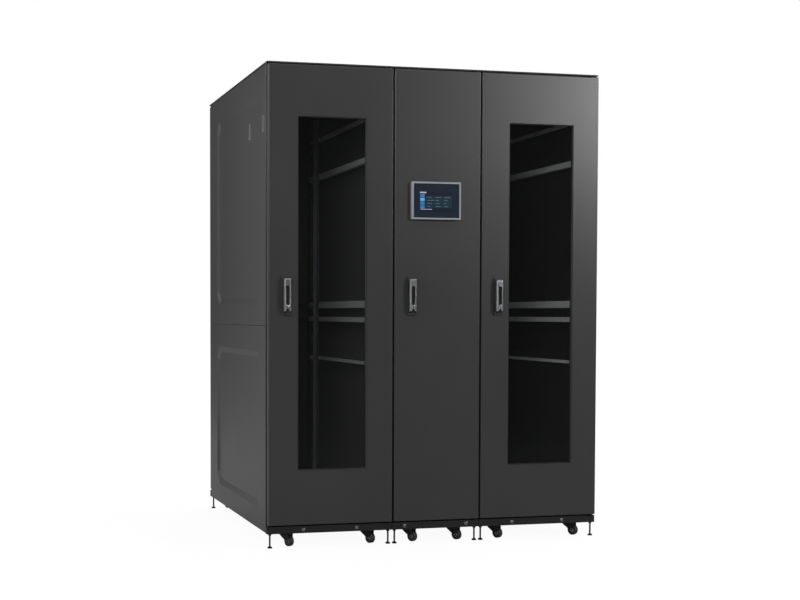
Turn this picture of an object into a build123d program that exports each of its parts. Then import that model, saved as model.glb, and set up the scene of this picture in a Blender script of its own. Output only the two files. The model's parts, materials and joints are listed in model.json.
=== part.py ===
"""Row of three bayed server cabinets: a glazed rack, a narrow bay with a touch display, a glazed rack.

Millimetres. The origin is on the floor under the middle of the row. +X runs along the front to the
right, +Y to the back, +Z up. The front doors face -Y and hinge on their right edges.
"""
import os

from build123d import *

# The row
RACK_WIDTH = 600.0
MIDDLE_WIDTH = 430.0
ROW_DEPTH = 1400.0
BODY_HEIGHT = 2150.0
FLOOR_GAP = 66.0
PARTITION_THICKNESS = 2.0
SHEET = 2.0
OVERRUN = 5.0

# Front and rear doors
DOOR_DEPTH = 32.0
DOOR_SIDE_GAP = 4.0
DOOR_FRAME_GAP = 10.0
DOOR_RETURN = 15.0
DOOR_EDGE_RADIUS = 3.5
PIN_GAP = 4.0

# Hinges
HINGE_FROM_EDGE = 14.0
HINGE_FROM_FACE = 9.0
PIN_RADIUS = 4.0
PIN_CLEARANCE = 0.3
BUSH_RADIUS = 8.0
BUSH_LENGTH = 12.0
PIN_REACH = 10.0
HINGE_PLATE = 3.0
HINGE_PLATE_WIDTH = 20.0
HINGE_PLATE_NOSE = 6.0

# Windows of the rack doors
WINDOW_WIDTH = 328.0
WINDOW_HEIGHT = 1615.0
WINDOW_BOTTOM = 291.0
WINDOW_OFFSET = 4.0
WINDOW_FLANGE = 10.0
GLASS_THICKNESS = 4.0
GLASS_LAP = 12.0

# Frame
POST_WIDTH = 50.0
POST_DEPTH = 60.0
BEAM_HEIGHT = 60.0
SIDE_BEAM_WIDTH = 46.0
TUBE_WALL = 2.0
ROOF_EDGE = 6.0
ROOF_OVERHANG = 28.0
PLINTH_HEIGHT = 33.0
TIE_HEIGHT = 24.0
TIE_DEPTH = 20.0

# Outer side panels
PANEL_DEPTH = 12.0
PANEL_EDGE_RADIUS = 4.0
SPLIT_HEIGHT = 955.0
FIELD_DEPTH = 8.0
FIELD_BEVEL = 30.0
FIELD_CHAMFER = 60.0
FIELD_FRONT_MARGIN = 150.0
FIELD_REAR_MARGIN = 220.0
FIELD_TOP_MARGIN = 120.0
FIELD_BOTTOM_MARGIN = 100.0

# Panel latches
LATCH_WIDTH = 12.0
LATCH_HEIGHT = 74.0
LATCH_PROUD = 4.0
LATCH_KNOB_HEIGHT = 16.0
LATCH_KNOB_PROUD = 2.0
LATCH_RADIUS = 1.0
LATCH_DROP = 235.0
LATCH_FRONT_SETBACK = 90.0
LATCH_FIELD_SETBACK = 407.0

# Equipment rails and the bars that carry them
RACK_OPENING = 450.0
RACK_UNIT = 44.45
RAIL_UNITS = 44
RAIL_FACE = 20.0
RAIL_WEB = 38.0
FRONT_RAIL_SETBACK = 120.0
REAR_RAIL_SETBACK = 250.0
BAR_WIDTH = 24.0
BAR_HEIGHTS = {1945.0: 14.0, 1745.0: 28.0, 1055.0: 34.0, 980.0: 24.0, 770.0: 14.0}
TIE_LEVELS = [1055.0, 980.0]

# Swing handles
DISH_WIDTH = 46.0
DISH_HEIGHT = 178.0
DISH_DEPTH = 8.0
DISH_RADIUS = 6.0
DISH_RIM = 5.0
DISH_POCKET = 5.0
DISH_END = 40.0
DISH_SOFTENING = 1.0
HANDLE_FROM_EDGE = 87.0
HANDLE_MIDDLE = 1091.0
SPINDLE_DROP = 22.0
SPINDLE_RADIUS = 6.0
SPINDLE_SEAT = 6.0
HEAD_WIDTH = 10.0
NECK_RADIUS = 4.0
HEAD_RADIUS = 6.0
LEVER_GAP = 5.0
LEVER_WIDTH = 38.0
LEVER_THICKNESS = 16.0
LEVER_LENGTH = 152.0
LEVER_HEAD = 34.0
LEVER_WEB = 17.0
LEVER_SLOT_WIDTH = 16.0
LEVER_NOTCH_WIDTH = 22.0
LEVER_NOTCH_HEIGHT = 16.0
LEVER_ROUNDING = 9.0
LEVER_PIN_FROM_TOP = 12.0
LEVER_PIN_FROM_BACK = 7.0
LEVER_PIN_RADIUS = 2.5
LEVER_PIN_BITE = 5.0
LEVER_CLEARANCE = 0.4

# Touch display
DISPLAY_WIDTH = 240.0
DISPLAY_HEIGHT = 174.0
DISPLAY_DEPTH = 20.0
DISPLAY_RADIUS = 3.0
DISPLAY_MIDDLE = 1533.0
DISPLAY_OFFSET = -14.0
BEZEL_WIDTH = 8.0
FACE_THICKNESS = 2.0
FACE_RECESS = 1.0

# Casters
CASTER_FROM_SIDE = 104.0
CASTER_FLOOR_GAP = 2.0
CASTER_TURN = 25.0
WHEEL_RADIUS = 25.0
WHEEL_WIDTH = 22.0
WHEEL_ROUNDING = 4.0
HUB_RADIUS = 14.0
HUB_DISH = 2.0
AXLE_RADIUS = 4.0
WHEEL_CLEARANCE = 0.2
CHEEK_GAP = 1.5
CHEEK_THICKNESS = 2.5
CHEEK_RADIUS = 9.0
FORK_RADIUS = 33.0
FORK_FOOT = 5.0
TRAIL = 22.0
MOUNT_PLATE = 4.0
MOUNT_PLATE_WIDTH = 60.0
BEARING_HEIGHT = 3.0
BEARING_RADIUS = 29.0
FORK_PLATE = 3.0
FORK_GAP = 0.4
KINGPIN_RADIUS = 5.0
KINGPIN_TAIL = 1.0

# Levelling feet
FOOT_FROM_SIDE = 16.0
FOOT_RADIUS = 11.0
FOOT_HEIGHT = 6.0
FOOT_NECK = 3.0
ROD_RADIUS = 4.0
NUT_RADIUS = 7.5
NUT_HEIGHT = 7.0
NUT_SIDES = 6

# Planes that the pieces share
BODY_TOP = FLOOR_GAP + BODY_HEIGHT
ROOF_BOTTOM = BODY_TOP - ROOF_EDGE
FACE_Y = -ROW_DEPTH / 2
DOOR_BACK_Y = FACE_Y + DOOR_DEPTH
FRAME_Y = DOOR_BACK_Y + DOOR_FRAME_GAP
POST_BACK_Y = FRAME_Y + POST_DEPTH
PLINTH_Y = FRAME_Y - ROOF_OVERHANG
BASE_TOP = FLOOR_GAP + BEAM_HEIGHT
FRAME_TOP = BODY_TOP - SHEET
TOP_BEAM_BOTTOM = FRAME_TOP - BEAM_HEIGHT
PLINTH_TOP = FLOOR_GAP + PLINTH_HEIGHT
DOOR_BOTTOM = PLINTH_TOP + HINGE_PLATE + PIN_GAP
DOOR_TOP = ROOF_BOTTOM - HINGE_PLATE - PIN_GAP
SPLIT_Z = FLOOR_GAP + SPLIT_HEIGHT
SPINDLE_Z = FLOOR_GAP + HANDLE_MIDDLE + DISH_HEIGHT / 2 - SPINDLE_DROP
HINGE_Y = FACE_Y + HINGE_FROM_FACE
HALF_ROW = RACK_WIDTH + MIDDLE_WIDTH / 2

# Each bay's ends, and which of its sides carry an outer panel
BAYS = {
    "left": (-HALF_ROW, -MIDDLE_WIDTH / 2),
    "middle": (-MIDDLE_WIDTH / 2, MIDDLE_WIDTH / 2),
    "right": (MIDDLE_WIDTH / 2, HALF_ROW),
}
RACKS = ["left", "right"]
OUTER_ENDS = [-HALF_ROW, HALF_ROW]


def block(x_span, y_span, z_span):
    """Box between the low and high ends of three spans."""
    spans = [sorted(span) for span in (x_span, y_span, z_span)]
    middle = [(low + high) / 2 for low, high in spans]
    size = [high - low for low, high in spans]
    return Pos(*middle) * Box(*size)


def widened(span, amount):
    """Span with both ends moved outwards by the amount."""
    low, high = sorted(span)
    return (low - amount, high + amount)


def tube(x_span, y_span, z_span, along):
    """Square tube with open ends, running along x, y or z."""
    change = {axis: -TUBE_WALL for axis in "xyz"}
    change[along] = OVERRUN
    spans = {"x": x_span, "y": y_span, "z": z_span}
    hollow = block(*[widened(spans[axis], change[axis]) for axis in "xyz"])
    return block(x_span, y_span, z_span) - hollow


def rod(x, y, z_span, radius):
    """Upright round bar."""
    low, high = sorted(z_span)
    return Pos(x, y, (low + high) / 2) * Cylinder(radius, high - low)


def cross_pin(x_span, y, z, radius):
    """Round bar along X."""
    low, high = sorted(x_span)
    return Pos((low + high) / 2, y, z) * Rot(0, 90, 0) * Cylinder(radius, high - low)


def fore_pin(x, y_span, z, radius):
    """Round bar along Y."""
    low, high = sorted(y_span)
    return Pos(x, (low + high) / 2, z) * Rot(90, 0, 0) * Cylinder(radius, high - low)


def turned_back(solid, bay):
    """The same piece on the bay's rear: half a turn about the bay's upright middle line."""
    middle = sum(BAYS[bay]) / 2
    return Pos(middle, 0, 0) * Rot(0, 0, 180) * Pos(-middle, 0, 0) * solid


def mirrored_back(solid):
    """The same piece at the other end of the depth."""
    return mirror(solid, about=Plane.XZ)


def save(name, solids):
    """Write one sub-part; its solids stand clear of each other."""
    shapes = [one for solid in solids for one in solid.solids()]
    whole = shapes[0] if len(shapes) == 1 else Compound(children=shapes)
    whole.label = name
    export_step(whole, f"parts/{name}.step")


def clear_span(bay):
    """Bay ends less the outer panel's depth, or half a partition where another bay follows."""
    low, high = BAYS[bay]
    low += PANEL_DEPTH if low in OUTER_ENDS else PARTITION_THICKNESS / 2
    high -= PANEL_DEPTH if high in OUTER_ENDS else PARTITION_THICKNESS / 2
    return (low, high)


def sheet_span(bay):
    """Full width of a bay's roof or plinth, short of its neighbour's by one partition."""
    low, high = BAYS[bay]
    low += 0 if low in OUTER_ENDS else PARTITION_THICKNESS / 2
    high -= 0 if high in OUTER_ENDS else PARTITION_THICKNESS / 2
    return (low, high)


# Frame

def post_spans(bay):
    """Where the bay's left and right posts stand along X."""
    low, high = clear_span(bay)
    return [(low, low + POST_WIDTH), (high - POST_WIDTH, high)]


def corner_posts(bay):
    posts = []
    for x_span in post_spans(bay):
        front = tube(x_span, (FRAME_Y, POST_BACK_Y), (BASE_TOP, TOP_BEAM_BOTTOM), "z")
        posts += [front, mirrored_back(front)]
    return posts


def cross_beams():
    """Front and rear beams of base and top frame, and the ties between the racks' rear posts."""
    beams = []
    for bay in BAYS:
        for z_span in [(FLOOR_GAP, BASE_TOP), (TOP_BEAM_BOTTOM, FRAME_TOP)]:
            front = tube(clear_span(bay), (FRAME_Y, POST_BACK_Y), z_span, "x")
            beams += [front, mirrored_back(front)]
    for bay in RACKS:
        inner = (post_spans(bay)[0][1], post_spans(bay)[1][0])
        tie_y = -(FRAME_Y + POST_BACK_Y) / 2
        for level in TIE_LEVELS:
            z = FLOOR_GAP + level
            beams.append(tube(inner, widened((tie_y, tie_y), TIE_DEPTH / 2),
                              widened((z, z), TIE_HEIGHT / 2), "x"))
    return beams


def side_beams():
    beams = []
    for bay in BAYS:
        low, high = clear_span(bay)
        for x_span in [(low, low + SIDE_BEAM_WIDTH), (high - SIDE_BEAM_WIDTH, high)]:
            for z_span in [(FLOOR_GAP, BASE_TOP), (TOP_BEAM_BOTTOM, FRAME_TOP)]:
                beams.append(tube(x_span, (POST_BACK_Y, -POST_BACK_Y), z_span, "y"))
    return beams


def floor_plates():
    plates = []
    for bay in BAYS:
        low, high = clear_span(bay)
        inner = (low + SIDE_BEAM_WIDTH, high - SIDE_BEAM_WIDTH)
        plates.append(block(inner, (POST_BACK_Y, -POST_BACK_Y), (BASE_TOP - SHEET, BASE_TOP)))
    return plates


def roof_panels():
    """Flat sheets, folded down at the front, the rear and the row's two ends."""
    roofs = []
    for bay in BAYS:
        low, high = sheet_span(bay)
        y_span = (PLINTH_Y, -PLINTH_Y)
        roof = block((low, high), y_span, (ROOF_BOTTOM, BODY_TOP))
        below = (low if low in OUTER_ENDS else low - OVERRUN - SHEET,
                 high if high in OUTER_ENDS else high + OVERRUN + SHEET)
        hollow = block(widened(below, -SHEET), widened(y_span, -SHEET),
                       (ROOF_BOTTOM - OVERRUN, BODY_TOP - SHEET))
        roofs.append(roof - hollow)
    return roofs


def plinth_rails():
    """Folded rails below the doors, open underneath."""
    rails = []
    for bay in BAYS:
        x_span = sheet_span(bay)
        y_span = (PLINTH_Y, FRAME_Y)
        hollow = block(widened(x_span, -SHEET), widened(y_span, -SHEET),
                       (FLOOR_GAP - OVERRUN, PLINTH_TOP - SHEET))
        front = block(x_span, y_span, (FLOOR_GAP, PLINTH_TOP)) - hollow
        rails += [front, mirrored_back(front)]
    return rails


def partitions():
    """Sheets between the middle bay and the racks."""
    return [block(widened((x, x), PARTITION_THICKNESS / 2), (FRAME_Y, -FRAME_Y), (FLOOR_GAP, FRAME_TOP))
            for x in BAYS["middle"]]


# Outer side panels

def field_outline(y_span, z_span, chamfer):
    """Oblong with cut corners, in the plane of a side panel."""
    (y0, y1), (z0, z1) = y_span, z_span
    points = [(y0 + chamfer, z0), (y1 - chamfer, z0), (y1, z0 + chamfer), (y1, z1 - chamfer),
              (y1 - chamfer, z1), (y0 + chamfer, z1), (y0, z1 - chamfer), (y0, z0 + chamfer)]
    return points


def pressed_field(x_outer, x_inner, y_span, z_span):
    """Solid of the pressing: the outline narrows by the bevel on its way in."""
    ends = []
    inner_y = widened(y_span, -FIELD_BEVEL)
    inner_z = widened(z_span, -FIELD_BEVEL)
    inner_chamfer = FIELD_CHAMFER - FIELD_BEVEL * (2 - 2 ** 0.5)
    for x, y_pair, z_pair, chamfer in [(x_outer, y_span, z_span, FIELD_CHAMFER),
                                       (x_inner, inner_y, inner_z, inner_chamfer)]:
        points = [(x, y, z) for y, z in field_outline(y_pair, z_pair, chamfer)]
        ends.append(Wire.make_polygon(points, close=True))
    return Solid.make_loft(ends, ruled=True)


def side_panel(z_span):
    """Shallow tray on the row's left end, with a large pressed field."""
    x_out = -HALF_ROW
    x_in = x_out + PANEL_DEPTH
    y_span = (FRAME_Y, -FRAME_Y)
    tray = block((x_out, x_in), y_span, z_span)
    tray = fillet(tray.faces().sort_by(Axis.X)[0].edges(), PANEL_EDGE_RADIUS)
    tray -= block((x_out + SHEET, x_in + OVERRUN), widened(y_span, -SHEET), widened(z_span, -SHEET))
    field_y = (FACE_Y + FIELD_FRONT_MARGIN, -FACE_Y - FIELD_REAR_MARGIN)
    field_z = (z_span[0] + FIELD_BOTTOM_MARGIN, z_span[1] - FIELD_TOP_MARGIN)
    tray += pressed_field(x_out + SHEET, x_out + SHEET + FIELD_DEPTH, field_y, field_z)
    tray -= pressed_field(x_out, x_out + FIELD_DEPTH, field_y, field_z)
    return tray


def latch(x_seat, y):
    """Slide latch standing on a face that looks towards -X, with a knob at its lower end."""
    top = FLOOR_GAP + BODY_HEIGHT - LATCH_DROP
    y_span = widened((y, y), LATCH_WIDTH / 2)
    plate = block((x_seat - LATCH_PROUD, x_seat), y_span, (top - LATCH_HEIGHT, top))
    knob = block((x_seat - LATCH_PROUD - LATCH_KNOB_PROUD, x_seat), y_span,
                 (top - LATCH_HEIGHT, top - LATCH_HEIGHT + LATCH_KNOB_HEIGHT))
    whole = plate + knob
    outer = whole.faces().sort_by(Axis.X)[0]
    return fillet(outer.edges(), LATCH_RADIUS)


def latches():
    left = [latch(-HALF_ROW, FACE_Y + LATCH_FRONT_SETBACK),
            latch(-HALF_ROW + FIELD_DEPTH, FACE_Y + LATCH_FIELD_SETBACK)]
    return left + [mirror(one, about=Plane.YZ) for one in left]


# Equipment rails

def rail_pair(bay, setback):
    """Two rails, set back from the door's face. The face is in front, the web runs back along the bars."""
    middle = sum(BAYS[bay]) / 2
    length = RAIL_UNITS * RACK_UNIT
    z_middle = (BASE_TOP + TOP_BEAM_BOTTOM) / 2
    z_span = widened((z_middle, z_middle), length / 2)
    y = FACE_Y + setback
    rails = []
    for side in (-1, 1):
        inner = middle + side * RACK_OPENING / 2
        outer = inner + side * RAIL_FACE
        face = block((inner, outer), (y, y + SHEET), z_span)
        web = block((outer - side * SHEET, outer), (y, y + RAIL_WEB), z_span)
        rails.append(face + web)
    return rails


def mounting_rails(bay):
    rear = [mirrored_back(rail) for rail in rail_pair(bay, REAR_RAIL_SETBACK)]
    return rail_pair(bay, FRONT_RAIL_SETBACK) + rear


def side_bars(bay):
    """Bars between front and rear posts, outside the rails."""
    middle = sum(BAYS[bay]) / 2
    bars = []
    for side in (-1, 1):
        inner = middle + side * (RACK_OPENING / 2 + RAIL_FACE)
        for level, height in BAR_HEIGHTS.items():
            z = FLOOR_GAP + level
            bars.append(tube((inner, inner + side * BAR_WIDTH), (POST_BACK_Y, -POST_BACK_Y),
                             widened((z, z), height / 2), "y"))
    return bars


# Doors

def door_span(bay):
    low, high = BAYS[bay]
    return (low + DOOR_SIDE_GAP, high - DOOR_SIDE_GAP)


def hinge_x(bay):
    return door_span(bay)[1] - HINGE_FROM_EDGE


def window_spans(bay):
    middle = sum(BAYS[bay]) / 2 + WINDOW_OFFSET
    bottom = FLOOR_GAP + WINDOW_BOTTOM
    return widened((middle, middle), WINDOW_WIDTH / 2), (bottom, bottom + WINDOW_HEIGHT)


def door(bay, glazed):
    """Folded door with returns at its back, bushes for its two pins, and a flanged window if glazed."""
    x_span = door_span(bay)
    z_span = (DOOR_BOTTOM, DOOR_TOP)
    skin = block(x_span, (FACE_Y, DOOR_BACK_Y), z_span)
    front_face = skin.faces().sort_by(Axis.Y)[0]
    skin = fillet(front_face.edges(), DOOR_EDGE_RADIUS)
    skin -= block(widened(x_span, -SHEET), (FACE_Y + SHEET, DOOR_BACK_Y - SHEET), widened(z_span, -SHEET))
    skin -= block(widened(x_span, -DOOR_RETURN), (FACE_Y + SHEET, DOOR_BACK_Y + OVERRUN),
                  widened(z_span, -DOOR_RETURN))
    x = hinge_x(bay)
    for z_bush in [(DOOR_BOTTOM, DOOR_BOTTOM + BUSH_LENGTH), (DOOR_TOP - BUSH_LENGTH, DOOR_TOP)]:
        skin += rod(x, HINGE_Y, z_bush, BUSH_RADIUS)
        skin -= rod(x, HINGE_Y, widened(z_bush, OVERRUN), PIN_RADIUS + PIN_CLEARANCE)
    if glazed:
        win_x, win_z = window_spans(bay)
        skin += block(widened(win_x, SHEET), (FACE_Y + SHEET, FACE_Y + WINDOW_FLANGE), widened(win_z, SHEET))
        skin -= block(win_x, (FACE_Y - OVERRUN, FACE_Y + WINDOW_FLANGE + OVERRUN), win_z)
    return skin


def door_glass(bay):
    win_x, win_z = window_spans(bay)
    y = FACE_Y + WINDOW_FLANGE
    return block(widened(win_x, GLASS_LAP), (y, y + GLASS_THICKNESS), widened(win_z, GLASS_LAP))


def hinge_brackets():
    """Plates with a pin, above and below each front and rear door."""
    brackets = []
    for bay in BAYS:
        x = hinge_x(bay)
        x_span = widened((x, x), HINGE_PLATE_WIDTH / 2)
        y_span = (HINGE_Y - HINGE_PLATE_NOSE, FRAME_Y)
        low = block(x_span, y_span, (PLINTH_TOP, PLINTH_TOP + HINGE_PLATE))
        low += rod(x, HINGE_Y, (PLINTH_TOP, DOOR_BOTTOM + PIN_REACH), PIN_RADIUS)
        high = block(x_span, y_span, (ROOF_BOTTOM - HINGE_PLATE, ROOF_BOTTOM))
        high += rod(x, HINGE_Y, (DOOR_TOP - PIN_REACH, ROOF_BOTTOM), PIN_RADIUS)
        brackets += [low, high, turned_back(low, bay), turned_back(high, bay)]
    return brackets


# Swing handles

def handle_x(bay):
    return BAYS[bay][0] + HANDLE_FROM_EDGE


def handle_dish(bay):
    """Oblong dish on the door's face, with a pocket behind the grip and a socket for the spindle."""
    x = handle_x(bay)
    z = FLOOR_GAP + HANDLE_MIDDLE
    y_front = FACE_Y - DISH_DEPTH
    dish = block(widened((x, x), DISH_WIDTH / 2), (y_front, FACE_Y), widened((z, z), DISH_HEIGHT / 2))
    dish = fillet(dish.edges().filter_by(Axis.Y), DISH_RADIUS)
    dish = fillet(dish.faces().sort_by(Axis.Y)[0].edges(), DISH_SOFTENING)
    pocket_z = (z - DISH_HEIGHT / 2 + DISH_RIM, SPINDLE_Z + SPINDLE_DROP - DISH_END)
    pocket_x = widened((x, x), DISH_WIDTH / 2 - DISH_RIM)
    dish -= block(pocket_x, (y_front - OVERRUN, y_front + DISH_POCKET), pocket_z)
    dish -= fore_pin(x, (y_front - OVERRUN, y_front + SPINDLE_SEAT), SPINDLE_Z,
                     SPINDLE_RADIUS + LEVER_CLEARANCE)
    return dish


def lever_y():
    """Front and back of the lever."""
    back = FACE_Y - DISH_DEPTH - LEVER_GAP
    return (back - LEVER_THICKNESS, back)


def lever_pin_y():
    return lever_y()[1] - LEVER_PIN_FROM_BACK


def handle_spindle(bay):
    """Shaft that turns in the dish, with a round head that the lever's pin passes through."""
    x = handle_x(bay)
    y_pin = lever_pin_y()
    seat = FACE_Y - DISH_DEPTH + SPINDLE_SEAT - LEVER_CLEARANCE
    spindle = fore_pin(x, (y_pin, seat), SPINDLE_Z, NECK_RADIUS)
    spindle += fore_pin(x, (FACE_Y - DISH_DEPTH, seat), SPINDLE_Z, SPINDLE_RADIUS)
    spindle += cross_pin(widened((x, x), HEAD_WIDTH / 2), y_pin, SPINDLE_Z, HEAD_RADIUS)
    spindle -= cross_pin(widened((x, x), HEAD_WIDTH), y_pin, SPINDLE_Z, LEVER_PIN_RADIUS + LEVER_CLEARANCE)
    return spindle


def lever_notch(x, y_span, bottom):
    """Wedge that parts the lever's lower end into two tips."""
    corners = [(x - LEVER_NOTCH_WIDTH / 2, bottom), (x, bottom + LEVER_NOTCH_HEIGHT),
               (x + LEVER_NOTCH_WIDTH / 2, bottom), (x, bottom - LEVER_NOTCH_HEIGHT)]
    plane = Plane.XZ.offset(-max(y_span) - OVERRUN)
    return extrude(plane * make_face(Polyline(*corners, close=True)), LEVER_THICKNESS + OVERRUN + OVERRUN)


def handle_lever(bay):
    """Rounded plate with a long slot and two tips, hollowed behind its head for the spindle and the pin."""
    x = handle_x(bay)
    y_span = lever_y()
    y_back = max(y_span)
    y_pin = lever_pin_y()
    top = SPINDLE_Z + LEVER_PIN_FROM_TOP
    bottom = top - LEVER_LENGTH
    lever = block(widened((x, x), LEVER_WIDTH / 2), y_span, (bottom, top))
    lever = fillet(lever.faces().sort_by(Axis.Y)[0].edges(), LEVER_ROUNDING)
    slot_z = (bottom + LEVER_NOTCH_HEIGHT + LEVER_WEB, top - LEVER_HEAD)
    lever -= block(widened((x, x), LEVER_SLOT_WIDTH / 2), widened(y_span, OVERRUN), slot_z)
    lever -= lever_notch(x, y_span, bottom)
    cavity = widened((x, x), HEAD_WIDTH / 2 + LEVER_CLEARANCE)
    reach = HEAD_RADIUS + LEVER_CLEARANCE
    lever -= cross_pin(cavity, y_pin, SPINDLE_Z, reach)
    lever -= block(cavity, (y_pin, y_back + OVERRUN), (SPINDLE_Z - reach, top + OVERRUN))
    lever += cross_pin(widened(cavity, LEVER_PIN_BITE), y_pin, SPINDLE_Z, LEVER_PIN_RADIUS)
    return lever


# Touch display on the middle door

def display_spans(margin):
    x = sum(BAYS["middle"]) / 2 + DISPLAY_OFFSET
    z = FLOOR_GAP + DISPLAY_MIDDLE
    return widened((x, x), DISPLAY_WIDTH / 2 - margin), widened((z, z), DISPLAY_HEIGHT / 2 - margin)


def display_housing():
    x_span, z_span = display_spans(0)
    front = FACE_Y - DISPLAY_DEPTH
    housing = block(x_span, (front, FACE_Y), z_span)
    housing = fillet(housing.edges().filter_by(Axis.Y), DISPLAY_RADIUS)
    housing = fillet(housing.faces().sort_by(Axis.Y)[0].edges(), DISPLAY_RADIUS / 2)
    x_face, z_face = display_spans(BEZEL_WIDTH)
    return housing - block(x_face, (front - OVERRUN, front + FACE_RECESS + FACE_THICKNESS), z_face)


def display_face():
    x_face, z_face = display_spans(BEZEL_WIDTH)
    front = FACE_Y - DISPLAY_DEPTH + FACE_RECESS
    return block(x_face, (front, front + FACE_THICKNESS), z_face)


# Casters and feet

def caster_places(bay):
    """The bay's two front casters stand under its front base beam."""
    low, high = BAYS[bay]
    y = (FRAME_Y + POST_BACK_Y) / 2
    return {"left": (low + CASTER_FROM_SIDE, y), "right": (high - CASTER_FROM_SIDE, y)}


def placed_caster(solid, place):
    """Move a caster piece from the origin to its place, turned about its swivel axis."""
    return Pos(*place, 0) * Rot(0, 0, CASTER_TURN) * solid


def caster_mount():
    """Plate under the beam, bearing ring and kingpin."""
    top = FLOOR_GAP
    half = MOUNT_PLATE_WIDTH / 2
    mount = block((-half, half), (-half, half), (top - MOUNT_PLATE, top))
    ring_bottom = top - MOUNT_PLATE - BEARING_HEIGHT
    mount += rod(0, 0, (ring_bottom, top), BEARING_RADIUS)
    mount += rod(0, 0, (ring_bottom - FORK_GAP - FORK_PLATE - KINGPIN_TAIL, top), KINGPIN_RADIUS)
    return mount


def axle_place():
    """Height of the axle and its distance in front of the swivel axis."""
    return -TRAIL, CASTER_FLOOR_GAP + WHEEL_RADIUS


def caster_fork():
    """Round top plate about the kingpin, two cheeks that taper down to the axle, and the axle."""
    y_axle, z_axle = axle_place()
    plate_top = FLOOR_GAP - MOUNT_PLATE - BEARING_HEIGHT - FORK_GAP
    plate_bottom = plate_top - FORK_PLATE
    half = WHEEL_WIDTH / 2 + CHEEK_GAP + CHEEK_THICKNESS
    y_front = y_axle - CHEEK_RADIUS
    y_rear = (FORK_RADIUS ** 2 - half ** 2) ** 0.5
    fork = rod(0, 0, (plate_bottom, plate_top), FORK_RADIUS)
    fork += block((-half, half), (y_front, 0), (plate_bottom, plate_top))
    for side in (-1, 1):
        x_span = (side * half, side * (half - CHEEK_THICKNESS))
        cheek = cross_pin(x_span, y_axle, z_axle, CHEEK_RADIUS)
        corners = [(y_front, z_axle), (y_axle, z_axle - CHEEK_RADIUS), (y_axle + CHEEK_RADIUS, z_axle),
                   (y_rear, plate_bottom - FORK_FOOT), (y_rear, plate_top), (y_front, plate_top)]
        outline = Plane.YZ.offset(min(x_span)) * make_face(Polyline(*corners, close=True))
        fork += cheek + extrude(outline, CHEEK_THICKNESS)
    fork += cross_pin((-half, half), y_axle, z_axle, AXLE_RADIUS)
    fork -= rod(0, 0, (plate_bottom - OVERRUN, plate_top + OVERRUN), KINGPIN_RADIUS + PIN_CLEARANCE)
    return fork


def caster_wheel():
    """Rounded wheel with dished hubs, bored for the axle."""
    y_axle, z_axle = axle_place()
    half = WHEEL_WIDTH / 2
    wheel = cross_pin((-half, half), y_axle, z_axle, WHEEL_RADIUS)
    wheel = fillet(wheel.edges().filter_by(GeomType.CIRCLE), WHEEL_ROUNDING)
    for x_span in [(half - HUB_DISH, half + OVERRUN), (-half - OVERRUN, -half + HUB_DISH)]:
        dish = cross_pin(x_span, y_axle, z_axle, HUB_RADIUS)
        wheel -= dish - cross_pin(x_span, y_axle, z_axle, AXLE_RADIUS + HUB_DISH)
    wheel -= cross_pin((-half - OVERRUN, half + OVERRUN), y_axle, z_axle, AXLE_RADIUS + WHEEL_CLEARANCE)
    return wheel


def caster_mounts():
    mounts = []
    for bay in BAYS:
        for place in caster_places(bay).values():
            mount = placed_caster(caster_mount(), place)
            mounts += [mount, turned_back(mount, bay)]
    return mounts


def levelling_feet():
    """Pad, threaded rod and lock nut at each corner of each bay, up into the plinth rails."""
    feet = []
    y = (PLINTH_Y + FRAME_Y) / 2
    for bay in BAYS:
        for x in (BAYS[bay][0] + FOOT_FROM_SIDE, BAYS[bay][1] - FOOT_FROM_SIDE):
            foot = rod(x, y, (0, FOOT_HEIGHT), FOOT_RADIUS)
            cone_middle = FOOT_HEIGHT + FOOT_NECK / 2
            foot += Pos(x, y, cone_middle) * Cone(FOOT_RADIUS, ROD_RADIUS, FOOT_NECK)
            foot += rod(x, y, (FOOT_HEIGHT, PLINTH_TOP - SHEET), ROD_RADIUS)
            nut = extrude(RegularPolygon(NUT_RADIUS, NUT_SIDES), NUT_HEIGHT)
            foot += Pos(x, y, FLOOR_GAP - NUT_HEIGHT) * nut
            feet += [foot, mirrored_back(foot)]
    return feet


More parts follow.
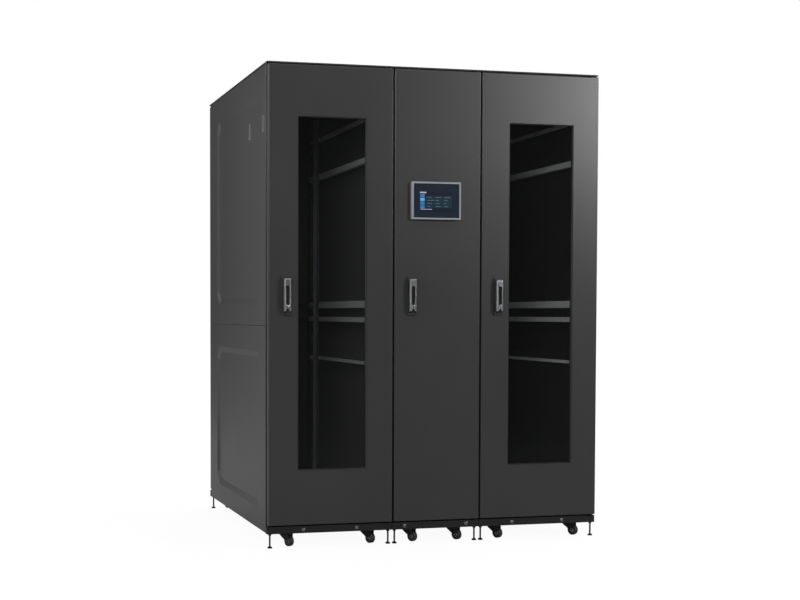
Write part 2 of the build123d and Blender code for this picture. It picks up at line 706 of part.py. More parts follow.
def build():
    os.makedirs("parts", exist_ok=True)
    save("cross_beams", cross_beams())
    save("side_beams", side_beams())
    save("floor_plates", floor_plates())
    save("roof_panels", roof_panels())
    save("plinth_rails", plinth_rails())
    save("partitions", partitions())
    save("hinge_brackets", hinge_brackets())
    save("caster_mounts", caster_mounts())
    save("levelling_feet", levelling_feet())
    save("side_panel_latches", latches())

    for level, z_span in {"upper": (SPLIT_Z, ROOF_BOTTOM), "lower": (FLOOR_GAP, SPLIT_Z)}.items():
        panel = side_panel(z_span)
        save(f"left_{level}_side_panel", [panel])
        save(f"right_{level}_side_panel", [mirror(panel, about=Plane.YZ)])

    for bay in BAYS:
        save(f"{bay}_corner_posts", corner_posts(bay))
        save(f"{bay}_front_door", [door(bay, bay in RACKS)])
        save(f"{bay}_handle_dish", [handle_dish(bay)])
        save(f"{bay}_handle_spindle", [handle_spindle(bay)])
        save(f"{bay}_handle_lever", [handle_lever(bay)])
        save(f"{bay}_rear_door", [turned_back(door(bay, False), bay)])
        rear_handle = [handle_dish(bay), handle_spindle(bay), handle_lever(bay)]
        save(f"{bay}_rear_handle", [turned_back(piece, bay) for piece in rear_handle])
        for side, place in caster_places(bay).items():
            save(f"{bay}_bay_{side}_caster_fork", [placed_caster(caster_fork(), place)])
            save(f"{bay}_bay_{side}_caster_wheel", [placed_caster(caster_wheel(), place)])

    rear_forks = []
    rear_wheels = []
    for bay in BAYS:
        for place in caster_places(bay).values():
            rear_forks.append(turned_back(placed_caster(caster_fork(), place), bay))
            rear_wheels.append(turned_back(placed_caster(caster_wheel(), place), bay))
    save("rear_caster_forks", rear_forks)
    save("rear_caster_wheels", rear_wheels)

    for bay in RACKS:
        save(f"{bay}_door_glass", [door_glass(bay)])
        save(f"{bay}_mounting_rails", mounting_rails(bay))
        save(f"{bay}_side_bars", side_bars(bay))

    save("display_housing", [display_housing()])
    save("display_face", [display_face()])


build()
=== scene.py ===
"""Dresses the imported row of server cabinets, and sets its floor, light and camera."""

import json
import math

import bmesh
import bpy
from mathutils import Matrix, Vector

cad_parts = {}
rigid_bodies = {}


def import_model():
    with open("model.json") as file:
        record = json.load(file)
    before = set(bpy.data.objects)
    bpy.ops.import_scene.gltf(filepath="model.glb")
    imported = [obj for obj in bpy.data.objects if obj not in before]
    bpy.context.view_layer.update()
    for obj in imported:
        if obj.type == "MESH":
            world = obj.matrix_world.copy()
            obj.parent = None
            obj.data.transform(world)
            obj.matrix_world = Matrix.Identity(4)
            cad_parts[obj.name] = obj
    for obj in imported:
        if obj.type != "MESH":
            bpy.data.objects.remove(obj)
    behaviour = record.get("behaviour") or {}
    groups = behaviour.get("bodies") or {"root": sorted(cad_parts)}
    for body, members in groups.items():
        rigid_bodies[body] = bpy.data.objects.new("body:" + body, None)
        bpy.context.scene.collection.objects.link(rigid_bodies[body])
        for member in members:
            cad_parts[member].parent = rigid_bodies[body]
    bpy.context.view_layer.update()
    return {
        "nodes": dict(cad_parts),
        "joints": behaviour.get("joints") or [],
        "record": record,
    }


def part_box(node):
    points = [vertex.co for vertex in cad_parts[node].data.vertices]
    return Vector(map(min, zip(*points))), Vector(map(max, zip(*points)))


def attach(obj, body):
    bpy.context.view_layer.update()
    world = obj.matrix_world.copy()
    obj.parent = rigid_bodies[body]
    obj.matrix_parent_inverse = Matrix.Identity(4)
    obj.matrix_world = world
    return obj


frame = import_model()

MM = 0.001
NODES = frame["nodes"]
RECORD = frame["record"]
BAYS = ["left", "middle", "right"]
RACKS = ["left", "right"]
ROLL_JOINTS = [joint for joint in frame["joints"] if joint["name"].endswith("_roll")]


# Finishes

# Sizes of the patterns. Orange peel and moulded grain are finer than a pixel, as in the
# photograph: they soften the highlight and show in close views. The screen's pixels are drawn
# far coarser than real ones, so that they show.
PAINT_CLOUD = 450.0 * MM
PAINT_PEEL = 3.0 * MM
PAINT_PEEL_DEPTH = 0.2 * MM
PLATING_CLOUD = 9.0 * MM
ZINC_CRYSTAL = 14.0 * MM
PLASTIC_GRAIN = 1.2 * MM
PLASTIC_GRAIN_DEPTH = 0.1 * MM
WINDOW_HAZE = 300.0 * MM
COVER_CAST = 120.0 * MM
SCREEN_PIXELS = 6.0 * MM

# How far the roughness strays to either side with the pattern
PAINT_GLOSS_SPREAD = 0.03
PLATING_GLOSS_SPREAD = 0.06

PAINT_PEEL_STRENGTH = 0.04
PLASTIC_GRAIN_STRENGTH = 0.15
SMOOTH_GRAIN_STRENGTH = 0.05
DIM_PIXEL_SHARE = 0.8


def linear(hex_colour):
    """sRGB hex colour as linear RGBA."""
    parts = [int(hex_colour[i:i + 2], 16) / 255 for i in (1, 3, 5)]
    return tuple(p / 12.92 if p <= 0.04045 else ((p + 0.055) / 1.055) ** 2.4
                 for p in parts) + (1.0,)


WHITE = linear("#ffffff")


def add(tree, kind, inputs=None, **settings):
    """Adds a node with its settings; inputs holds values and links by socket name or number."""
    made = tree.nodes.new(kind)
    for name, value in settings.items():
        setattr(made, name, value)
    for socket, value in (inputs or {}).items():
        if isinstance(value, bpy.types.NodeSocket):
            tree.links.new(value, made.inputs[socket])
        else:
            made.inputs[socket].default_value = value
    return made


def new_material(name):
    """Empty material and its node tree."""
    material = bpy.data.materials.new(name)
    material.use_nodes = True
    material.node_tree.nodes.clear()
    return material, material.node_tree


def surface(tree, shader):
    """Makes a shader the look of its material."""
    add(tree, "ShaderNodeOutputMaterial", {"Surface": shader.outputs[0]})


def powder_coat(name, dark, light, roughness):
    """Powder coat on sheet steel: a satin skin with fine orange peel, uneven over a panel."""
    material, tree = new_material(name)
    place = add(tree, "ShaderNodeTexCoord").outputs["Object"]
    cloud = add(tree, "ShaderNodeTexNoise",
                {"Vector": place, "Scale": 1 / PAINT_CLOUD, "Detail": 3.0})
    peel = add(tree, "ShaderNodeTexNoise",
               {"Vector": place, "Scale": 1 / PAINT_PEEL, "Detail": 2.0})
    mixed = add(tree, "ShaderNodeMixRGB",
                {"Fac": cloud.outputs["Fac"], "Color1": linear(dark), "Color2": linear(light)})
    gloss = add(tree, "ShaderNodeMapRange",
                {"Value": cloud.outputs["Fac"], "To Min": roughness - PAINT_GLOSS_SPREAD,
                 "To Max": roughness + PAINT_GLOSS_SPREAD})
    relief = add(tree, "ShaderNodeBump",
                 {"Height": peel.outputs["Fac"], "Strength": PAINT_PEEL_STRENGTH,
                  "Distance": PAINT_PEEL_DEPTH})
    shader = add(tree, "ShaderNodeBsdfPrincipled",
                 {"Base Color": mixed.outputs[0], "Roughness": gloss.outputs[0],
                  "Normal": relief.outputs[0], "IOR": 1.45, "Specular IOR Level": 0.4})
    surface(tree, shader)
    return material


def plated_metal(name, dark, light, roughness):
    """Zinc, nickel, black or lacquered metal: soft cloudy patches that vary in tone and gloss."""
    material, tree = new_material(name)
    place = add(tree, "ShaderNodeTexCoord").outputs["Object"]
    cloud = add(tree, "ShaderNodeTexNoise",
                {"Vector": place, "Scale": 1 / PLATING_CLOUD, "Detail": 4.0})
    mixed = add(tree, "ShaderNodeMixRGB",
                {"Fac": cloud.outputs["Fac"], "Color1": linear(dark), "Color2": linear(light)})
    gloss = add(tree, "ShaderNodeMapRange",
                {"Value": cloud.outputs["Fac"], "To Min": roughness - PLATING_GLOSS_SPREAD,
                 "To Max": roughness + PLATING_GLOSS_SPREAD})
    shader = add(tree, "ShaderNodeBsdfPrincipled",
                 {"Base Color": mixed.outputs[0], "Metallic": 1.0,
                  "Roughness": gloss.outputs[0]})
    surface(tree, shader)
    return material


def galvanised(name, dark, light):
    """Hot-dip zinc, dulled by age: pale crystals of slightly different greys that scatter light."""
    material, tree = new_material(name)
    place = add(tree, "ShaderNodeTexCoord").outputs["Object"]
    crystals = add(tree, "ShaderNodeTexVoronoi", {"Vector": place, "Scale": 1 / ZINC_CRYSTAL})
    grey = add(tree, "ShaderNodeSeparateColor", {0: crystals.outputs["Color"]})
    mixed = add(tree, "ShaderNodeMixRGB",
                {"Fac": grey.outputs[0], "Color1": linear(dark), "Color2": linear(light)})
    shader = add(tree, "ShaderNodeBsdfPrincipled",
                 {"Base Color": mixed.outputs[0], "Metallic": 0.05, "Roughness": 0.35})
    surface(tree, shader)
    return material


def moulded_plastic(name, dark, light, roughness, strength=PLASTIC_GRAIN_STRENGTH):
    """Moulded plastic or rubber: an even body colour and a fine eroded grain in the highlight."""
    material, tree = new_material(name)
    place = add(tree, "ShaderNodeTexCoord").outputs["Object"]
    grain = add(tree, "ShaderNodeTexNoise",
                {"Vector": place, "Scale": 1 / PLASTIC_GRAIN, "Detail": 3.0})
    mixed = add(tree, "ShaderNodeMixRGB",
                {"Fac": grain.outputs["Fac"], "Color1": linear(dark), "Color2": linear(light)})
    relief = add(tree, "ShaderNodeBump",
                 {"Height": grain.outputs["Fac"], "Strength": strength,
                  "Distance": PLASTIC_GRAIN_DEPTH})
    shader = add(tree, "ShaderNodeBsdfPrincipled",
                 {"Base Color": mixed.outputs[0], "Roughness": roughness,
                  "Normal": relief.outputs[0], "IOR": 1.5})
    surface(tree, shader)
    return material


def tinted_glass(name, colour):
    """Smoked safety glass: dark, polished, and clear enough to show the bars behind it."""
    material, tree = new_material(name)
    place = add(tree, "ShaderNodeTexCoord").outputs["Object"]
    haze = add(tree, "ShaderNodeTexNoise",
               {"Vector": place, "Scale": 1 / WINDOW_HAZE, "Detail": 2.0})
    gloss = add(tree, "ShaderNodeMapRange",
                {"Value": haze.outputs["Fac"], "To Min": 0.03, "To Max": 0.07})
    shader = add(tree, "ShaderNodeBsdfPrincipled",
                 {"Base Color": linear(colour), "Alpha": 0.13, "Roughness": gloss.outputs[0],
                  "IOR": 1.5, "Specular IOR Level": 0.3})
    surface(tree, shader)
    return material


def touch_glass(name, dark, light):
    """Cover glass of the display: near black with a blue cast, printed from behind, polished."""
    material, tree = new_material(name)
    place = add(tree, "ShaderNodeTexCoord").outputs["Object"]
    cast = add(tree, "ShaderNodeTexNoise",
               {"Vector": place, "Scale": 1 / COVER_CAST, "Detail": 1.0})
    mixed = add(tree, "ShaderNodeMixRGB",
                {"Fac": cast.outputs["Fac"], "Color1": linear(dark), "Color2": linear(light)})
    shader = add(tree, "ShaderNodeBsdfPrincipled",
                 {"Base Color": mixed.outputs[0], "Roughness": 0.16, "IOR": 1.5,
                  "Specular IOR Level": 0.3})
    surface(tree, shader)
    return material


def lit_picture(name, colour, strength):
    """Lit area of the liquid crystal panel: its own light, broken by a faint pixel pattern."""
    material, tree = new_material(name)
    place = add(tree, "ShaderNodeTexCoord").outputs["Object"]
    pixels = add(tree, "ShaderNodeTexNoise",
                 {"Vector": place, "Scale": 1 / SCREEN_PIXELS, "Detail": 2.0})
    bright = linear(colour)
    dim = tuple(DIM_PIXEL_SHARE * part for part in bright[:3]) + (1.0,)
    mixed = add(tree, "ShaderNodeMixRGB",
                {"Fac": pixels.outputs["Fac"], "Color1": dim, "Color2": bright})
    shader = add(tree, "ShaderNodeBsdfPrincipled",
                 {"Base Color": linear("#0a0c10"), "Roughness": 0.2,
                  "Emission Color": mixed.outputs[0], "Emission Strength": strength})
    surface(tree, shader)
    return material


FINISHES = {
    "cabinet_paint": powder_coat("black_powder_coat", "#2a2a2a", "#303030", 0.33),
    "frame_paint": powder_coat("frame_powder_coat", "#151617", "#1a1b1c", 0.5),
    "lining_paint": powder_coat("partition_powder_coat", "#5c5d5d", "#666767", 0.5),
    "plinth_paint": powder_coat("plinth_powder_coat", "#0d0d0e", "#121213", 0.45),
    "rail_paint": powder_coat("rail_powder_coat", "#5c5f63", "#686b6f", 0.42),
    "bar_steel": galvanised("galvanised_bar", "#d9dbdd", "#eceeef"),
    "zinc_steel": plated_metal("zinc_plated_steel", "#6c6e70", "#838587", 0.42),
    "foot_steel": plated_metal("blackened_steel", "#1e1f21", "#313235", 0.45),
    "caster_steel": powder_coat("caster_black_enamel", "#101112", "#18191b", 0.4),
    "caster_tread": moulded_plastic("wheel_polyamide", "#141516", "#1d1e20", 0.5),
    "handle_black": moulded_plastic("glass_filled_polyamide", "#0d0e0f", "#151617", 0.48),
    "handle_metal": plated_metal("silver_lacquered_zinc", "#888a8c", "#96989a", 0.3),
    "tinted_glass": tinted_glass("smoked_safety_glass", "#202121"),
    "display_bezel": moulded_plastic("silver_painted_abs", "#74787a", "#828688", 0.4,
                                     SMOOTH_GRAIN_STRENGTH),
    "display_glass": touch_glass("display_cover_glass", "#1a222b", "#1f2833"),
}
# The doors' paint in a duller grade, which spreads the lamps' light over the flat roof
ROOF = powder_coat("dull_black_powder_coat", "#2a2a2a", "#303030", 0.7)
RUBBER = moulded_plastic("extruded_seal_rubber", "#0b0c0c", "#121313", 0.62)
HUB = moulded_plastic("grey_polypropylene", "#6d7073", "#85888b", 0.45)
LOCK = plated_metal("nickel_plated_brass", "#a9abad", "#c9cacb", 0.25)
# Painted shade for the hollow behind a hole or slot: matt, and too dark to show any form
HOLE_SHADE = moulded_plastic("painted_hole_shade", "#040404", "#070707", 0.8)

for part in RECORD["subparts"]:
    mesh = NODES[part["node"]].data
    mesh.materials.clear()
    mesh.materials.append(ROOF if part["node"] == "roof_panels"
                          else FINISHES[part["material_slot"]])


# Tools for the added pieces

TURNED_SIDES = 24


def piece(name, build, body, materials):
    """New mesh object filled by build(bm), riding on a body."""
    mesh = bpy.data.meshes.new(name)
    bm = bmesh.new()
    build(bm)
    bmesh.ops.recalc_face_normals(bm, faces=bm.faces)
    bm.to_mesh(mesh)
    bm.free()
    for material in materials:
        mesh.materials.append(material)
    made = bpy.data.objects.new(name, mesh)
    bpy.context.scene.collection.objects.link(made)
    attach(made, body)


def cuboid(bm, low, high, material=0):
    """Box between two corners in metres."""
    low, high = Vector(low), Vector(high)
    size = high - low
    matrix = Matrix.Translation((low + high) / 2) @ Matrix.Diagonal((*size, 1.0))
    made = bmesh.ops.create_cube(bm, size=1.0, matrix=matrix)
    for face in {face for vert in made["verts"] for face in vert.link_faces}:
        face.material_index = material


def turned(bm, profile, place, axis):
    """Lathe-turned form: profile holds (radius, height) pairs, and both its ends are closed."""
    upright = Vector(axis).normalized().to_track_quat("Z", "Y").to_matrix().to_4x4()
    matrix = Matrix.Translation(Vector(place)) @ upright
    angles = [2 * math.pi * i / TURNED_SIDES for i in range(TURNED_SIDES)]
    rings = []
    for radius, height in profile:
        points = (Vector((radius * math.cos(a), radius * math.sin(a), height)) for a in angles)
        rings.append([bm.verts.new(matrix @ point) for point in points])
    for lower, upper in zip(rings, rings[1:]):
        for i in range(TURNED_SIDES):
            j = (i + 1) % TURNED_SIDES
            bm.faces.new((lower[i], lower[j], upper[j], upper[i]))
    bm.faces.new(list(reversed(rings[0])))
    bm.faces.new(rings[-1])


# Plinth screws: two on each bay's front and rear rail

SCREW_RADIUS = 8.5 * MM
SCREW_HEIGHT = 3.0 * MM
WIDE_SCREW_SETBACK = 168.0 * MM
NARROW_SCREW_SETBACK = 58.0 * MM

# Pan head with a socket sunk into it, as shares of its radius and height
PAN_PROFILE = [(1.0, 0.0), (1.0, 0.45), (0.8, 0.85), (0.6, 1.0), (0.45, 1.0), (0.45, 0.4)]


def pan_screw(bm, place, axis, radius, height):
    """Screw head that stands on a face, with its axis pointing out of it."""
    profile = [(out * radius, up * height) for out, up in PAN_PROFILE]
    turned(bm, profile, place, axis)


def plinth_screws(bm):
    """Heads set in from the edges of each door, at half the rails' height."""
    low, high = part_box("plinth_rails")
    z = (low[2] + high[2]) / 2
    for bay in BAYS:
        door_low, door_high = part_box(bay + "_front_door")
        setback = NARROW_SCREW_SETBACK if bay == "middle" else WIDE_SCREW_SETBACK
        for x in (door_low[0] + setback, door_high[0] - setback):
            pan_screw(bm, (x, low[1], z), (0, -1, 0), SCREW_RADIUS, SCREW_HEIGHT)
            pan_screw(bm, (x, high[1], z), (0, 1, 0), SCREW_RADIUS, SCREW_HEIGHT)


piece("plinth_screws", plinth_screws, "frame", [FINISHES["zinc_steel"]])


# Equipment rails: square holes in painted shade, three to a rack unit

RACK_UNIT = 44.45 * MM
RAIL_FACE = 20.0 * MM
HOLE_SIZE = 9.5 * MM
HOLE_STEPS = (6.35 * MM, 22.225 * MM, 38.1 * MM)
HOLE_SKIN = 0.3 * MM


def rail_hole_shade(rack):
    """Squares of painted shade on the faces of a rack's rails, where their holes are."""
    def build(bm):
        low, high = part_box(rack + "_mounting_rails")
        units = round((high[2] - low[2]) / RACK_UNIT)
        half = HOLE_SIZE / 2
        for x in (low[0] + RAIL_FACE / 2, high[0] - RAIL_FACE / 2):
            for y0, y1 in ((low[1] - HOLE_SKIN, low[1]), (high[1], high[1] + HOLE_SKIN)):
                for unit in range(units):
                    for step in HOLE_STEPS:
                        z = low[2] + unit * RACK_UNIT + step
                        cuboid(bm, (x - half, y0, z - half), (x + half, y1, z + half))
    return build


for rack in RACKS:
    piece(rack + "_rail_hole_shade", rail_hole_shade(rack), "frame", [HOLE_SHADE])


# Windows: rubber seals in front of the panes, folded steel frames that hold them from behind

WINDOW_LAP = 12.0 * MM
SEAL_WIDTH = 5.0 * MM
SEAL_RIDGE = 2.0 * MM
SEAL_DEPTH = 7.0 * MM
SEAL_CROWN = 1.0 * MM
SEAL_SLOPE = 1.5 * MM
GLASS_FRAME_DEPTH = 16.0 * MM
GLASS_FRAME_FOLD = 1.5 * MM


def window_ring(bm, low, high, section):
    """Four mitred lengths round a window; section holds (inset, y) pairs of the closed profile."""
    loops = []
    for inset, y in section:
        x0, z0, x1, z1 = low[0] + inset, low[2] + inset, high[0] - inset, high[2] - inset
        corners = ((x0, y, z0), (x1, y, z0), (x1, y, z1), (x0, y, z1))
        loops.append([bm.verts.new(corner) for corner in corners])
    loops.append(loops[0])
    for one, other in zip(loops, loops[1:]):
        for i in range(4):
            j = (i + 1) % 4
            bm.faces.new((one[i], one[j], other[j], other[i]))


def window_seal(rack):
    """Rubber profile inside the flange of the window, pressed against the pane."""
    def build(bm):
        low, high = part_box(rack + "_door_glass")
        back = low[1]
        front = back - SEAL_DEPTH
        inner = WINDOW_LAP + SEAL_WIDTH
        window_ring(bm, low, high, [
            (WINDOW_LAP, back), (WINDOW_LAP, front),
            (WINDOW_LAP + SEAL_RIDGE, front - SEAL_CROWN),
            (inner, front + SEAL_SLOPE), (inner, back)])
    return build


def glass_frame(rack):
    """Painted channel round the back of the pane, from the pane's edge to the window's edge."""
    def build(bm):
        low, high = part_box(rack + "_door_glass")
        back = high[1]
        rear = back + GLASS_FRAME_DEPTH
        window_ring(bm, low, high, [
            (0.0, back), (WINDOW_LAP, back), (WINDOW_LAP, rear - GLASS_FRAME_FOLD),
            (WINDOW_LAP - GLASS_FRAME_FOLD, rear), (GLASS_FRAME_FOLD, rear),
            (0.0, rear - GLASS_FRAME_FOLD)])
    return build


for rack in RACKS:
    piece(rack + "_window_seal", window_seal(rack), rack + "_front_door",
          [RUBBER])
    piece(rack + "_glass_frame", glass_frame(rack), rack + "_front_door",
          [FINISHES["cabinet_paint"]])


# Handle locks: a cylinder lock in the web of each front lever

LOCK_RADIUS = 6.5 * MM
LOCK_RIM = 0.3 * MM
LOCK_PROUD = 0.5 * MM
LOCK_FACE_RADIUS = 5.85 * MM
LOCK_RISE = 24.5 * MM
KEYWAY_LENGTH = 7.0 * MM
KEYWAY_WIDTH = 1.4 * MM
KEYWAY_PROUD = 0.55 * MM


def handle_lock(bay):
    """Nickel lock face with a keyway of painted shade, on the web above the lever's two tips."""
    def build(bm):
        low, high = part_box(bay + "_handle_lever")
        x, y, z = (low[0] + high[0]) / 2, low[1], low[2] + LOCK_RISE
        turned(bm, [(LOCK_RADIUS, 0.0), (LOCK_RADIUS, LOCK_RIM), (LOCK_FACE_RADIUS, LOCK_PROUD)],
               (x, y, z), (0, -1, 0))
        cuboid(bm, (x - KEYWAY_WIDTH / 2, y - KEYWAY_PROUD, z - KEYWAY_LENGTH / 2),
               (x + KEYWAY_WIDTH / 2, y - LOCK_PROUD, z + KEYWAY_LENGTH / 2), material=1)
    return build


for bay in BAYS:
    piece(bay + "_handle_lock", handle_lock(bay), bay + "_handle_lever",
          [LOCK, HOLE_SHADE])


# Front casters: grey hub discs in both sides of a wheel

WHEEL_HALF_WIDTH = 9.0 * MM
HUB_RADIUS = 12.0 * MM
HUB_RIM = 0.8 * MM
HUB_PROUD = 1.4 * MM
# Radii of the raised face's edge and of the flat at its middle
HUB_FACE_RADII = (9.6 * MM, 5.4 * MM)


def wheel_hub(joint):
    """Two stepped discs on a wheel's axle, which its joint gives."""
    def build(bm):
        centre = Vector(joint["pos_m"])
        axis = Vector(joint["axis"]).normalized()
        profile = [(HUB_RADIUS, 0.0), (HUB_RADIUS, HUB_RIM)]
        profile += [(radius, HUB_PROUD) for radius in HUB_FACE_RADII]
        for outward in (-axis, axis):
            turned(bm, profile, centre + outward * WHEEL_HALF_WIDTH, outward)
    return build


for joint in ROLL_JOINTS:
    piece(joint["child"] + "_hub", wheel_hub(joint), joint["child"], [HUB])


# Axle bolts: a pan head on each outer cheek of the caster forks

BOLT_RADIUS = 6.0 * MM
BOLT_HEIGHT = 3.0 * MM
FORK_HALF_WIDTH = 15.0 * MM


def axle_bolts(axles):
    """Heads at both ends of each axle; axles holds (middle, direction) pairs."""
    def build(bm):
        for middle, direction in axles:
            for outward in (direction, -direction):
                pan_screw(bm, middle + outward * FORK_HALF_WIDTH, outward,
                          BOLT_RADIUS, BOLT_HEIGHT)
    return build


rear_axles = []
for joint in ROLL_JOINTS:
    middle, direction = Vector(joint["pos_m"]), Vector(joint["axis"]).normalized()
    piece(joint["parent"] + "_bolts", axle_bolts([(middle, direction)]), joint["parent"],
          [FINISHES["zinc_steel"]])
    # The rear casters are the front ones turned half round about the middle of their bay
    door_low, door_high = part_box(joint["name"].split("_")[0] + "_front_door")
    opposite = Vector((door_low[0] + door_high[0] - middle.x, -middle.y, middle.z))
    rear_axles.append((opposite, direction))
piece("rear_caster_bolts", axle_bolts(rear_axles), "frame",
      [FINISHES["zinc_steel"]])


# Display picture: plain blocks and rows, no lettering

SCREEN_WIDTH = 164.0 * MM
SCREEN_HEIGHT = 92.0 * MM
SCREEN_DROP = 4.0 * MM
TILE_SKIN = 0.2 * MM

PICTURE = [
    lit_picture("liquid_crystal_deep_blue", "#0b1a2c", 0.7),
    lit_picture("liquid_crystal_teal", "#17313f", 0.8),
    lit_picture("liquid_crystal_light_blue", "#3a80bf", 0.9),
    lit_picture("liquid_crystal_pale_grey", "#c4bccb", 0.9),
    lit_picture("liquid_crystal_grey_green", "#587887", 0.8),
    lit_picture("liquid_crystal_sky_blue", "#6fb0e4", 0.9),
]
DEEP_BLUE, TEAL, LIGHT_BLUE, PALE_GREY, GREY_GREEN, SKY_BLUE = range(len(PICTURE))

# Left edge, top edge, width and height of each area, as shares of the screen
WHOLE_SCREEN = (0.0, 0.0, 1.0, 1.0)
VALUE_FIELD = (0.16, 0.2, 0.8, 0.62)
HEADER = (0.0, 0.02, 0.19, 0.07)
FOOTER = (0.02, 0.88, 0.34, 0.03)
FIRST_BUTTON = (0.01, 0.13, 0.13, 0.16)
BUTTON_PITCH = 0.19
BUTTON_COLOURS = (LIGHT_BLUE, SKY_BLUE, LIGHT_BLUE, LIGHT_BLUE)

# Values in rows: the first one's left and top edges, the steps between them, their widths
VALUE_START = (0.22, 0.28)
VALUE_STEPS = (0.25, 0.15)
VALUE_HEIGHT = 0.03
VALUE_WIDTHS = [(0.12, 0.16, 0.18), (0.2, 0.1, 0.12), (0.14, 0.12, 0.08), (0.1, 0.16, 0.12)]


def display_picture(bm):
    """Screen area with a column of buttons, a header, value rows and a footer line."""
    low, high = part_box("display_face")
    x_middle = (low[0] + high[0]) / 2
    z_middle = (low[2] + high[2]) / 2 - SCREEN_DROP
    y = low[1]

    def tile(area, layer, colour):
        """Thin plate over an area of the screen; higher layers lie in front."""
        left, top, width, height = area
        x0 = x_middle + (left - 0.5) * SCREEN_WIDTH
        z1 = z_middle + (0.5 - top) * SCREEN_HEIGHT
        cuboid(bm, (x0, y - TILE_SKIN * layer, z1 - height * SCREEN_HEIGHT),
               (x0 + width * SCREEN_WIDTH, y - TILE_SKIN * (layer - 1), z1), colour)

    tile(WHOLE_SCREEN, 1, DEEP_BLUE)
    tile(VALUE_FIELD, 2, TEAL)
    tile(HEADER, 2, PALE_GREY)
    left, top, width, height = FIRST_BUTTON
    for row, colour in enumerate(BUTTON_COLOURS):
        tile((left, top + row * BUTTON_PITCH, width, height), 2, colour)
    for row, widths in enumerate(VALUE_WIDTHS):
        for column, width in enumerate(widths):
            tile((VALUE_START[0] + column * VALUE_STEPS[0],
                  VALUE_START[1] + row * VALUE_STEPS[1], width, VALUE_HEIGHT), 3, GREY_GREEN)
    tile(FOOTER, 2, PALE_GREY)


piece("display_picture", display_picture, "middle_front_door", PICTURE)


# Lamps: place, point looked at, width and height in metres, and watts

LAMPS = {
    "key_front_left": ((-2.8, -6.5, 3.0), (-0.3, 0.0, 1.1), (3.0, 2.5), 145.0),
    "soft_box_right": ((4.25, -5.56, 3.18), (0.8, -0.7, 4.6), (1.5, 1.2), 262.0),
    "soft_box_rear_left": ((-3.0, 3.8, 1.6), (-0.81, 0.4, 1.1), (1.2, 3.0), 9.0),
    "edge_strip_left": ((-4.5, -1.57, 3.0), (-0.815, -0.7, 2.4), (0.4, 0.9), 110.0),
    "soft_box_rear": ((2.2, 6.5, 3.2), (0.0, 0.7, 1.2), (3.0, 2.5), 260.0),
    "soft_box_right_side": ((6.5, 1.5, 2.8), (0.8, 0.0, 1.2), (2.5, 2.5), 150.0),
    "soft_box_top": ((0.0, -1.0, 5.0), (0.0, 0.0, 1.1), (4.0, 4.0), 80.0),
}


def lamp(name, place, target, size, power):
    """White soft box that looks at a point, and doesn't show itself."""
    data = bpy.data.lights.new(name, "AREA")
    data.shape = "RECTANGLE"
    data.size, data.size_y = size
    data.energy = power
    made = bpy.data.objects.new(name, data)
    made.location = place
    aim = Vector(target) - Vector(place)
    made.rotation_euler = aim.to_track_quat("-Z", "Y").to_euler()
    made.visible_camera = False
    bpy.context.scene.collection.objects.link(made)


for name, settings in LAMPS.items():
    lamp(name, *settings)


# Floor: a dull pale sheet, and a white glow that the camera sees over it

FLOOR_HALF = 30.0
FLOOR_GLOW = 1.1
# The glow's share in the picture, where the shadow lies and well beyond the shadow's reach
SHADOW_REACH = 3.0
GLOW_NEAR, GLOW_FAR = 0.86, 0.95
GLOW_IN_GLOSS = 0.08


def white_floor():
    """Pale floor that shows white to the camera and keeps the object's shadow."""
    material, tree = new_material("pale_studio_floor")
    path = add(tree, "ShaderNodeLightPath")
    plain = add(tree, "ShaderNodeBsdfPrincipled",
                {"Base Color": linear("#9c9c9c"), "Roughness": 0.9})
    glow = add(tree, "ShaderNodeEmission", {"Color": WHITE, "Strength": FLOOR_GLOW})
    place = add(tree, "ShaderNodeTexCoord").outputs["Object"]
    away = add(tree, "ShaderNodeVectorMath", {0: place}, operation="LENGTH")
    white = add(tree, "ShaderNodeMapRange",
                {"Value": away.outputs["Value"], "From Min": SHADOW_REACH,
                 "From Max": 2 * SHADOW_REACH, "To Min": GLOW_NEAR, "To Max": GLOW_FAR})
    seen = add(tree, "ShaderNodeMath",
               {0: path.outputs["Is Camera Ray"], 1: white.outputs[0]}, operation="MULTIPLY")
    share = add(tree, "ShaderNodeMath",
                {0: path.outputs["Is Glossy Ray"], 1: GLOW_IN_GLOSS, 2: seen.outputs[0]},
                operation="MULTIPLY_ADD")
    both = add(tree, "ShaderNodeMixShader",
               {0: share.outputs[0], 1: plain.outputs[0], 2: glow.outputs[0]})
    surface(tree, both)

    mesh = bpy.data.meshes.new("studio_floor")
    corners = [(-FLOOR_HALF, -FLOOR_HALF, 0), (FLOOR_HALF, -FLOOR_HALF, 0),
               (FLOOR_HALF, FLOOR_HALF, 0), (-FLOOR_HALF, FLOOR_HALF, 0)]
    mesh.from_pydata(corners, [], [(0, 1, 2, 3)])
    mesh.materials.append(material)
    floor = bpy.data.objects.new("studio_floor", mesh)
    bpy.context.scene.collection.objects.link(floor)


white_floor()


# World: white to the camera, an even dim light on dull surfaces

AMBIENT_LIGHT = 0.28
# What gloss mirrors grows from dim to bright as its direction nears this one, above the rear left
MIRRORED_LEAN = (-0.7, 0.4, 0.6)
MIRRORED_FROM, MIRRORED_TO = 0.2, 0.85
MIRRORED_DIM, MIRRORED_BRIGHT = 0.05, 0.13


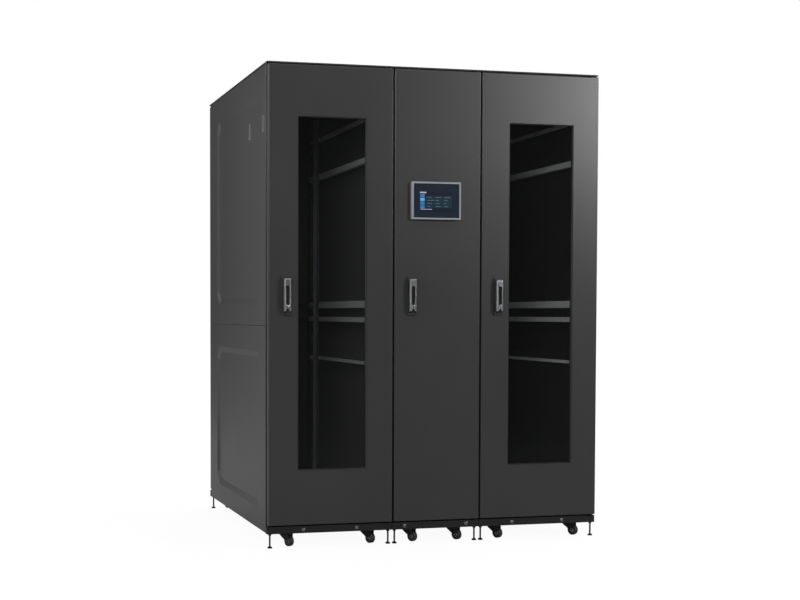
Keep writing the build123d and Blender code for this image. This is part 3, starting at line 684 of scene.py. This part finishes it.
def studio_world():
    """White behind the object; what gloss mirrors fades from the rear left to the front."""
    world = bpy.data.worlds.new("studio")
    world.use_nodes = True
    tree = world.node_tree
    tree.nodes.clear()
    path = add(tree, "ShaderNodeLightPath")
    seen = add(tree, "ShaderNodeMath",
               {0: path.outputs["Is Camera Ray"], 1: path.outputs["Is Transmission Ray"]},
               operation="MAXIMUM")
    direction = add(tree, "ShaderNodeTexCoord").outputs["Generated"]
    lean = add(tree, "ShaderNodeVectorMath", {0: direction, 1: MIRRORED_LEAN},
               operation="DOT_PRODUCT")
    fade = add(tree, "ShaderNodeMapRange",
               {"Value": lean.outputs["Value"], "From Min": MIRRORED_FROM,
                "From Max": MIRRORED_TO, "To Min": MIRRORED_DIM, "To Max": MIRRORED_BRIGHT})
    mirrored = add(tree, "ShaderNodeBackground", {"Color": WHITE, "Strength": fade.outputs[0]})
    ambient = add(tree, "ShaderNodeBackground", {"Color": WHITE, "Strength": AMBIENT_LIGHT})
    backdrop = add(tree, "ShaderNodeBackground", {"Color": WHITE, "Strength": 1.0})
    unseen = add(tree, "ShaderNodeMixShader",
                 {0: path.outputs["Is Glossy Ray"], 1: ambient.outputs[0],
                  2: mirrored.outputs[0]})
    chosen = add(tree, "ShaderNodeMixShader",
                 {0: seen.outputs[0], 1: unseen.outputs[0], 2: backdrop.outputs[0]})
    add(tree, "ShaderNodeOutputWorld", {"Surface": chosen.outputs[0]})
    bpy.context.scene.world = world


studio_world()


# Camera, worked out from the photograph's outline: millimetres, degrees, and pixels of its frame

IMAGE_WIDTH, IMAGE_HEIGHT = 800, 600
CAMERA_PLACE = (-2251.0, -6784.0, 1078.0)
CAMERA_TURN = 13.52
CAMERA_DROP = -2.32
CAMERA_FOCAL_PIXELS = 1377.6
CAMERA_CENTRE_PIXELS = (273.5, 368.9)
SENSOR_WIDTH = 36.0
CAMERA_REACH = 100_000.0


def photograph_camera():
    """Camera at the photograph's place, shifted to its centre of perspective."""
    data = bpy.data.cameras.new("camera")
    data.sensor_width = SENSOR_WIDTH
    data.lens = CAMERA_FOCAL_PIXELS / IMAGE_WIDTH * SENSOR_WIDTH
    data.shift_x = (IMAGE_WIDTH / 2 - CAMERA_CENTRE_PIXELS[0]) / IMAGE_WIDTH
    data.shift_y = (CAMERA_CENTRE_PIXELS[1] - IMAGE_HEIGHT / 2) / IMAGE_WIDTH
    data.clip_end = CAMERA_REACH * MM
    camera = bpy.data.objects.new("camera", data)
    camera.location = [value * MM for value in CAMERA_PLACE]
    turn, drop = math.radians(CAMERA_TURN), math.radians(CAMERA_DROP)
    ahead = Vector((math.sin(turn) * math.cos(drop), math.cos(turn) * math.cos(drop),
                    math.sin(drop)))
    camera.rotation_euler = ahead.to_track_quat("-Z", "Y").to_euler()
    bpy.context.scene.collection.objects.link(camera)
    bpy.context.scene.camera = camera


photograph_camera()
bpy.context.scene.view_settings.view_transform = "Standard"
